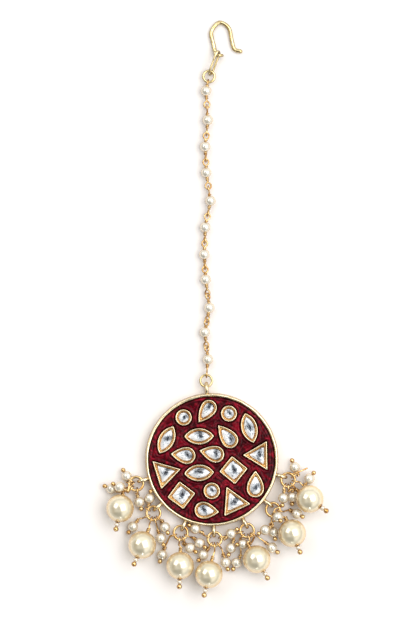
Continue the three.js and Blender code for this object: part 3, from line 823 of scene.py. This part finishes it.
def shore_distance(x, y):
    """How far each point is from the nearest collet or the rim."""
    nearest = TRAY_RADIUS - RIM_WIDTH - np.hypot(x, y)
    for _, outline, _, _ in SETTINGS:
        a = outline
        b = np.roll(outline, -1, axis=0)
        side = b - a
        inside = np.full(x.shape, True)
        distance = np.full(x.shape, 1e9)
        for (ax, ay), (sx, sy) in zip(a, side):
            length2 = sx * sx + sy * sy
            t = np.clip(((x - ax) * sx + (y - ay) * sy) / length2, 0, 1)
            distance = np.minimum(distance, np.hypot(x - ax - t * sx, y - ay - t * sy))
            inside &= sx * (y - ay) - sy * (x - ax) > 0
        nearest = np.minimum(nearest, np.where(inside, -distance, distance))
    return nearest


def make_enamel():
    """The pool of enamel: it sinks where it meets the gold, and stands in a low ridge beside it."""
    rings, sectors = 130, 360
    radius = TRAY_RADIUS - RIM_WIDTH + 0.02
    out = np.linspace(0, radius, rings + 1)[1:]
    angle = np.linspace(0, 2 * math.pi, sectors, endpoint=False)
    grid_out, grid_angle = np.meshgrid(out, angle, indexing="ij")
    x, y = grid_out * np.cos(grid_angle), grid_out * np.sin(grid_angle)
    shore = shore_distance(x, y)
    wander = shore + 0.16 * wobble(x, y, 0.9) + 0.08 * wobble(y, x, 0.35)
    ridge = 0.13 * np.exp(-(((wander - 0.72) / 0.17) ** 2))
    ridge = ridge + 0.07 * np.exp(-(((wander - 1.45) / 0.2) ** 2))
    swell = 0.05 * wobble(x, y, 1.1) * np.clip(shore, 0, 1)
    sink = -0.42 * np.exp(-((np.clip(shore, 0, None) / 0.15) ** 2))
    level = ENAMEL_TOP - 0.05
    z = level + ridge + swell + sink
    top = [[vector(0, 0, level)]]
    top += [[vector(x[i, s], y[i, s], z[i, s]) for s in range(sectors)] for i in range(rings)]
    low = [
        [vector(radius * math.cos(a), radius * math.sin(a), ENAMEL_FOOT) for a in angle],
        [vector(0, 0, ENAMEL_FOOT)],
    ]
    piece = Piece()
    piece.rows(top + low)
    values = [1.0] + shore.flatten().tolist() + [0.0] * (sectors + 1)
    piece.make("enamel_pool", "enamel", "enamel", [ENAMEL], {"shore": ("POINT", values)})


# ---- Pearls and wires -----------------------------------------------------------------------


def pearl_profile(radius, hole):
    """A ball with a small drilled and eased hole at both poles."""
    start = math.asin(min(1, 1.5 * hole / radius))
    angles = np.linspace(start, math.pi - start, 28)
    ball = [(-radius * math.cos(a), radius * math.sin(a)) for a in angles]
    shore_tone_and_ridge_highlight = radius * math.cos(start) - 0.35 * hole
    mouth = [(-shore_tone_and_ridge_highlight + 1.2 * hole, 0), (-shore_tone_and_ridge_highlight + 1.2 * hole, hole), (-shore_tone_and_ridge_highlight, hole)]
    far_mouth = [(-along, out) for along, out in mouth[::-1]]
    return mouth + ball + far_mouth


def add_pearl(piece, centre, way, radius, hole, sides, seed):
    """A pearl that is a little out of round."""
    shaker = random.Random(seed)
    profile = pearl_profile(radius, hole)
    before = len(piece.points)
    piece.turned(centre, way, profile, sides)
    squash = vector(*(shaker.uniform(-0.004, 0.003) for _ in range(3)))
    for i in range(before, len(piece.points)):
        p = np.array(piece.points[i]) - centre
        piece.points[i] = tuple(centre + p * (1 + squash))


def add_ball(piece, centre, way, radius, sides=18):
    angles = np.linspace(0, math.pi, 11)
    profile = [(-radius * math.cos(a), radius * math.sin(a)) for a in angles]
    profile[0] = (-radius, 0)
    profile[-1] = (radius, 0)
    piece.turned(centre, way, profile, sides)


def add_coil(piece, start, along, length, turns, wire, seed):
    """Wire wrapped round a stem, close beside a pearl."""
    shaker = random.Random(seed)
    across, third = square_to(unit(along))
    phase = shaker.uniform(0, 2 * math.pi)
    steps = int(turns * 14)
    course = []
    for i in range(steps + 1):
        share = i / steps
        a = phase + 2 * math.pi * turns * share
        radius = 2.45 * wire * (1 - 0.12 * share) + shaker.uniform(-0.01, 0.01)
        around = math.cos(a) * across + math.sin(a) * third
        course.append(start + along * length * share + radius * around)
    piece.wire(course, wire, 7)


def jump_ring_centre(bearing, ring_bearing):
    centre = heading(bearing) * LUG["reach"] + heading(ring_bearing) * JUMP_RING["reach"]
    centre[2] = JUMP_RING["height"]
    return centre


def hanging_loop(ring_centre, ring_radius, hang, towards):
    """Centre, normal and pull of a wire loop that hangs on a flat ring and is pulled to a point."""
    wire_point = ring_centre + heading(hang) * ring_radius
    normal = heading(hang + 90)
    pull = towards - wire_point
    pull = unit(pull - normal * np.dot(pull, normal))
    return wire_point + pull * LOOP_SLACK, normal, pull


def loop_course(centre, normal, pull, radius):
    """Round the loop and back to its neck, which is on the side that it is pulled to."""
    across = np.cross(normal, pull)
    stretch = 1.12
    course = [centre + pull * (radius + 0.42) + across * 0.05]
    for degrees in range(28, 345, 24):
        a = math.radians(degrees)
        course.append(centre + radius * (stretch * math.cos(a) * pull + math.sin(a) * across))
    course.append(centre + pull * (radius + 0.3) - across * 0.16)
    return course


def add_drop_wire(piece, centre, way, pearl_radius, turns, ring_centre, hang, radius, wire, seed):
    """The stem out of a pearl, the coil beside it, and the loop on the jump ring."""
    coil = COIL_PITCH * turns
    bend = centre - way * (pearl_radius + coil + 0.1)
    loop_centre, normal, pull = hanging_loop(ring_centre, JUMP_RING["radius"], hang, bend)
    course = [centre - way * (pearl_radius - 0.5), bend]
    course += loop_course(loop_centre, normal, pull, radius)
    piece.wire(smoothed(course, 4), wire)
    add_coil(piece, centre - way * (pearl_radius + 0.1), -way, coil, turns, COIL_WIRE, seed)


def make_small_bunch(number):
    """A jump ring with its small pearls, each on a wire with a ball at the end."""
    bearing, ring_bearing = LUGS[number - 1]
    ring_centre = jump_ring_centre(bearing, ring_bearing)
    node = f"small_pearls_{number}"
    beads, wires = Piece(), Piece()
    drops = [row[1:] for row in SMALL_DROPS if row[0] == number]
    for i, (x, y, z, pin_bearing, lean, hang) in enumerate(drops):
        seed = 100 * number + i
        centre, way = vector(x, y, z), heading(pin_bearing, lean)
        add_pearl(beads, centre, way, SMALL_PEARL, 0.26, 30, seed)
        add_drop_wire(wires, centre, way, SMALL_PEARL, 2.2, ring_centre, hang, 0.84, 0.24, seed)
        tip = centre + way * (SMALL_PEARL + SMALL_PIN["tip"])
        wires.wire([centre + way * (SMALL_PEARL - 0.4), tip], PIN_WIRE)
        ball = centre + way * (SMALL_PEARL + SMALL_PIN["ball"])
        add_ball(wires, ball, way, SMALL_PIN["ball_radius"])
    course = ring_course(ring_centre, UP, JUMP_RING["radius"], 48)
    wires.wire(course, RING_PLATING * JUMP_RING["wire"], 12, closed=True, uneven=0.03, seed=number)
    if WIRE_TAIL["lug"] == number:
        start = ring_centre + heading(WIRE_TAIL["hang"]) * JUMP_RING["radius"]
        end = vector(*WIRE_TAIL["end"])
        bow = (start + end) / 2 + vector(0.12, -0.1, 0.1)
        wires.wire(smoothed([start, bow, end], 6), 0.22)
    beads.make(f"{node}_beads", node, "pearl", [SMALL_NACRE])
    wires.make(f"{node}_wires", node, "gold", [WIRE_GOLD])


def make_large_drop(number):
    """A large pearl on its pin, with a washer at both holes, a seed pearl and a ball past it."""
    x, y, pin_bearing, lean, hang = LARGE_DROPS[number - 1]
    ring_centre = jump_ring_centre(*LUGS[number - 1])
    centre, way = vector(x, y, LARGE_PEARL), heading(pin_bearing, lean)
    skin = Piece()
    add_pearl(skin, centre, way, LARGE_PEARL, 0.45, 64, number)
    skin.make(f"large_pearl_{number}_skin", f"large_pearl_{number}", "pearl", [LARGE_NACRE])
    seed = Piece()
    flattened = [(0.86 * a, o) for a, o in pearl_profile(LARGE_PIN["seed_radius"], 0.16)]
    seed.turned(centre + way * LARGE_PIN["seed"], way, flattened, 24)
    seed.make(f"pearl_pin_{number}_seed", f"pearl_pin_{number}", "pearl", [SMALL_NACRE])
    metal = Piece()
    coil_seed = 900 + number
    add_drop_wire(metal, centre, way, LARGE_PEARL, 2.6, ring_centre, hang, 0.95, 0.25, coil_seed)
    for washer_radius, place in ((0.82, 3.97), (0.6, -3.99)):
        washer = [
            (place - 0.1, 0.2), (place - 0.1, washer_radius - 0.08), (place, washer_radius),
            (place + 0.1, washer_radius - 0.08), (place + 0.12, 0.2),
        ]
        metal.turned(centre, way, washer, 28, closed=True)
    tip = centre + way * LARGE_PIN["tip"]
    metal.wire([centre + way * (LARGE_PEARL - 0.4), tip], PIN_WIRE)
    add_ball(metal, centre + way * LARGE_PIN["ball"], way, LARGE_PIN["ball_radius"], 22)
    metal.make(f"pearl_pin_{number}_metal", f"pearl_pin_{number}", "gold", [WIRE_GOLD])


def chain_ring_centre():
    bearing = heading(TOP_LUG["bearing"])
    centre = bearing * (TOP_LUG["reach"] + CHAIN_RING["reach"])
    centre[2] = CHAIN_RING["height"]
    return centre


def hook_ring_centre():
    return vector(HOOK_RING["x"], HOOK_RING["y"], HOOK_RING["height"])


def chain_pearl_centre(index):
    x, y, _ = CHAIN_PEARLS[index]
    return vector(x, y, SMALL_PEARL)


def turned_normal(along, turn):
    level = unit(np.cross(UP, along))
    return turned_about(np.cross(along, level), along, turn)


def chain_joint(index):
    """The loops between one chain pearl and the next: below the first and above the second."""
    start, end = chain_pearl_centre(index), chain_pearl_centre(index + 1)
    along = end - start
    length = np.linalg.norm(along) - 1.0
    along = unit(along)
    turn = CHAIN_PEARLS[index][2]
    below, above = 0.54 * length, 0.46 * length
    return (
        (start + along * below, turned_normal(along, turn)),
        (end - along * above, turned_normal(along, turn + 90)),
    )


def end_loop(ring_centre, ring_radius, index):
    """The loop of an end link on the ring that carries it."""
    towards = chain_pearl_centre(index)
    along = towards - ring_centre
    bearing = math.degrees(math.atan2(along[1], along[0]))
    centre, normal, _ = hanging_loop(ring_centre, ring_radius, bearing, towards)
    return centre, normal


def make_chain_link(index):
    """A small pearl on a wire that ends in a loop and a coil above it and below it."""
    centre = chain_pearl_centre(index)
    last = len(CHAIN_PEARLS) - 1
    if index == 0:
        above = end_loop(hook_ring_centre(), HOOK_RING["radius"], index)
    else:
        above = chain_joint(index - 1)[1]
    if index == last:
        below = end_loop(chain_ring_centre(), CHAIN_RING["radius"], index)
    else:
        below = chain_joint(index)[0]
    node = f"chain_link_{index + 1}"
    bead, wires = Piece(), Piece()
    add_pearl(bead, centre, unit(below[0] - above[0]), SMALL_PEARL, 0.26, 30, 500 + index)
    for (loop_centre, normal), turns in ((above, 1.3), (below, 2.2)):
        pull = unit(centre - loop_centre)
        normal = unit(normal - pull * np.dot(normal, pull))
        stem = [centre + pull * -(SMALL_PEARL - 0.5)] + loop_course(loop_centre, normal, pull, 0.8)
        wires.wire(smoothed(stem, 4), 0.24)
        coil_start = centre - pull * (SMALL_PEARL - 0.02)
        add_coil(wires, coil_start, -pull, 0.4 * turns, turns, 0.17, 700 + index)
    bead.make(f"{node}_bead", node, "pearl", [SMALL_NACRE])
    wires.make(f"{node}_wires", node, "gold", [WIRE_GOLD])


# ---- The hook and its rings -----------------------------------------------------------------


def make_flat_ring(name, node, centre, size, seed):
    piece = Piece()
    course = ring_course(centre, UP, size["radius"], 48)
    piece.wire(course, size["wire"], 12, closed=True, uneven=0.03, seed=seed)
    piece.make(name, node, "gold", [HOOK_GOLD])


def hook_eye_centre():
    """The eye stands on edge, so its centre is its outer radius above the floor."""
    return vector(HOOK_EYE["x"], HOOK_EYE["y"], HOOK_EYE["radius"] + HOOK_EYE["wire"])


def make_hook_link():
    """A long closed link through the hook's eye and round the hook ring."""
    half_width = HOOK_LINK["half_width"]
    way = heading(HOOK_LINK["bearing"])
    side = turned_about(np.cross(UP, way), way, HOOK_LINK["twist"])
    top = hook_eye_centre() + side * half_width + way * HOOK_LINK["past_eye"]
    bottom = hook_ring_centre() + way * (HOOK_RING["radius"] - HOOK_LINK["inside_ring"])
    along = top - bottom
    length = np.linalg.norm(along)
    along = unit(along)
    shoulder = 0.55 * half_width
    corners = [
        (half_width, half_width), (length / 2, half_width), (length - half_width, half_width),
        (length, shoulder), (length, -shoulder), (length - half_width, -half_width),
        (length / 2, -half_width), (half_width, -half_width), (0, -shoulder), (0, shoulder),
    ]
    course = [bottom + along * run + side * rise for run, rise in corners]
    piece = Piece()
    course = smoothed(course, 6, closed=True)
    piece.wire(course, HOOK_LINK["wire"], 12, closed=True, uneven=0.04, seed=41)
    piece.make("hook_link_wire", "hook_link", "gold", [HOOK_GOLD])


def make_hook():
    """Round wire beaten into long uneven flats, with an eye soldered to its foot."""
    course = smoothed(HOOK_COURSE, 12)
    shaker = random.Random(7)
    flats = [shaker.uniform(0.92, 1.0) for _ in range(len(course) // FLAT_STEPS + 2)]
    radii = []
    for i in range(len(course)):
        flat, share = i // FLAT_STEPS, i % FLAT_STEPS / FLAT_STEPS
        radii.append(HOOK_WIRE * (flats[flat] * (1 - share) + flats[flat + 1] * share))
    piece = Piece()
    piece.wire(course, radii, 14, uneven=0.035, seed=8)
    eye = hook_eye_centre()
    shoulder = eye - vector(HOOK_EYE["radius"], 0, 0)
    piece.wire(smoothed([vector(*HOOK_COURSE[0]), shoulder], 3), HOOK_EYE["wire"], 12)
    ring = ring_course(eye, vector(0, 1, 0), HOOK_EYE["radius"], 40)
    piece.wire(ring, HOOK_EYE["wire"], 12, closed=True, uneven=0.03, seed=9)
    piece.make("hook_wire", "hook", "gold", [HOOK_GOLD])


# ---- Floor, light and camera ----------------------------------------------------------------


def make_floor():
    """A sheet of pale warm paper."""
    mesh = bpy.data.meshes.new("floor")
    half = 1.5
    corners = [(-half, -half, 0), (half, -half, 0), (half, half, 0), (-half, half, 0)]
    mesh.from_pydata(corners, [], [(0, 1, 2, 3)])
    material, nodes, links, shader = new_material("floor_paper")
    fibre = noise(nodes, links, 60, 4)
    color = ramp(nodes, links, fibre, [(0.3, (0.93, 0.90, 0.885)), (0.7, (0.95, 0.92, 0.905))])
    links.new(color, shader.inputs["Base Color"])
    shader.inputs["Roughness"].default_value = 0.85
    mesh.materials.append(material)
    floor = bpy.data.objects.new("floor", mesh)
    bpy.context.scene.collection.objects.link(floor)


def area_light(name, place, target, width, height, power, color):
    data = bpy.data.lights.new(name, "AREA")
    data.shape = "RECTANGLE"
    data.size = width
    data.size_y = height
    data.energy = power
    data.color = color
    light = bpy.data.objects.new(name, data)
    light.location = place
    light.rotation_euler = (Vector(target) - Vector(place)).to_track_quat("-Z", "Y").to_euler()
    bpy.context.scene.collection.objects.link(light)


def make_world():
    """A pale studio, greyer straight above, with bright screens right and behind and dark ones
    in front and at the left."""
    world = bpy.data.worlds.new("studio")
    world.use_nodes = True
    nodes, links = world.node_tree.nodes, world.node_tree.links
    place = nodes.new("ShaderNodeTexCoord")
    parts = nodes.new("ShaderNodeSeparateXYZ")
    links.new(place.outputs["Generated"], parts.inputs["Vector"])
    walls = ramp(nodes, links, parts.outputs["Z"], [
        (0.0, (0.80, 0.78, 0.75)),
        (0.86, (0.90, 0.89, 0.88)),
        (0.955, (0.55, 0.54, 0.52)),
        (1.0, (0.45, 0.44, 0.43)),
    ])
    band = ramp(nodes, links, parts.outputs["Z"], [
        (0.2, (0, 0, 0)),
        (0.4, (1, 1, 1)),
        (0.88, (1, 1, 1)),
        (0.97, (0, 0, 0)),
    ])
    shade = walls
    for axis, near, far, color in (
        ("Y", -0.38, -0.56, (0.05, 0.05, 0.045)),
        ("X", 0.1, 0.4, (1.7, 1.68, 1.64)),
        ("Y", 0.15, 0.45, (1.7, 1.7, 1.68)),
        ("X", -0.5, -0.8, (0.34, 0.26, 0.15)),
    ):
        side = nodes.new("ShaderNodeMapRange")
        side.inputs["From Min"].default_value = near
        side.inputs["From Max"].default_value = far
        links.new(parts.outputs[axis], side.inputs["Value"])
        share = nodes.new("ShaderNodeMath")
        share.operation = "MULTIPLY"
        links.new(side.outputs["Result"], share.inputs[0])
        links.new(band, share.inputs[1])
        shade = blend(nodes, links, share.outputs["Value"], shade, color)
    links.new(shade, nodes["Background"].inputs["Color"])
    nodes["Background"].inputs["Strength"].default_value = 0.62
    bpy.context.scene.world = world


def make_camera():
    """Straight above the middle of the piece, with the hook at the top."""
    data = bpy.data.cameras.new("camera")
    data.lens = 300
    data.sensor_width = 36
    camera = bpy.data.objects.new("camera", data)
    view_height = 0.1778
    middle = (-0.00105, 0.04215, 0.0025)
    distance = view_height / data.sensor_width * data.lens
    camera.location = (middle[0], middle[1], middle[2] + distance)
    camera.rotation_euler = (0, 0, 0)
    bpy.context.scene.collection.objects.link(camera)
    bpy.context.scene.camera = camera


make_tray()
make_lugs()
make_enamel()
for index, (name, outline, centre, count) in enumerate(SETTINGS):
    make_collet(name, outline, centre, index)
    make_stone(name, outline, centre, count, 50 + index)
for number in range(1, len(LUGS) + 1):
    make_large_drop(number)
    make_small_bunch(number)
for index in range(len(CHAIN_PEARLS)):
    make_chain_link(index)
make_flat_ring("chain_ring_wire", "chain_ring", chain_ring_centre(), CHAIN_RING, 31)
make_flat_ring("hook_ring_wire", "hook_ring", hook_ring_centre(), HOOK_RING, 32)
make_hook_link()
make_hook()

make_floor()
make_world()
# name, place, target, width, height, power, colour
area_light("key", (0.44, 0.16, 0.92), (0, 0.03, 0), 0.95, 0.8, 6.0, (1.0, 0.985, 0.97))
area_light("fill", (-0.45, 0.3, 0.6), (0, 0.03, 0), 0.5, 0.4, 1.3, (0.98, 0.99, 1.0))
area_light("spark", (0.03, -0.8, 0.16), (0, 0, 0), 0.08, 0.08, 0.25, (1.0, 1.0, 1.0))
make_camera()
bpy.context.scene.view_settings.view_transform = "Standard"
bpy.context.scene.view_settings.exposure = 0.05
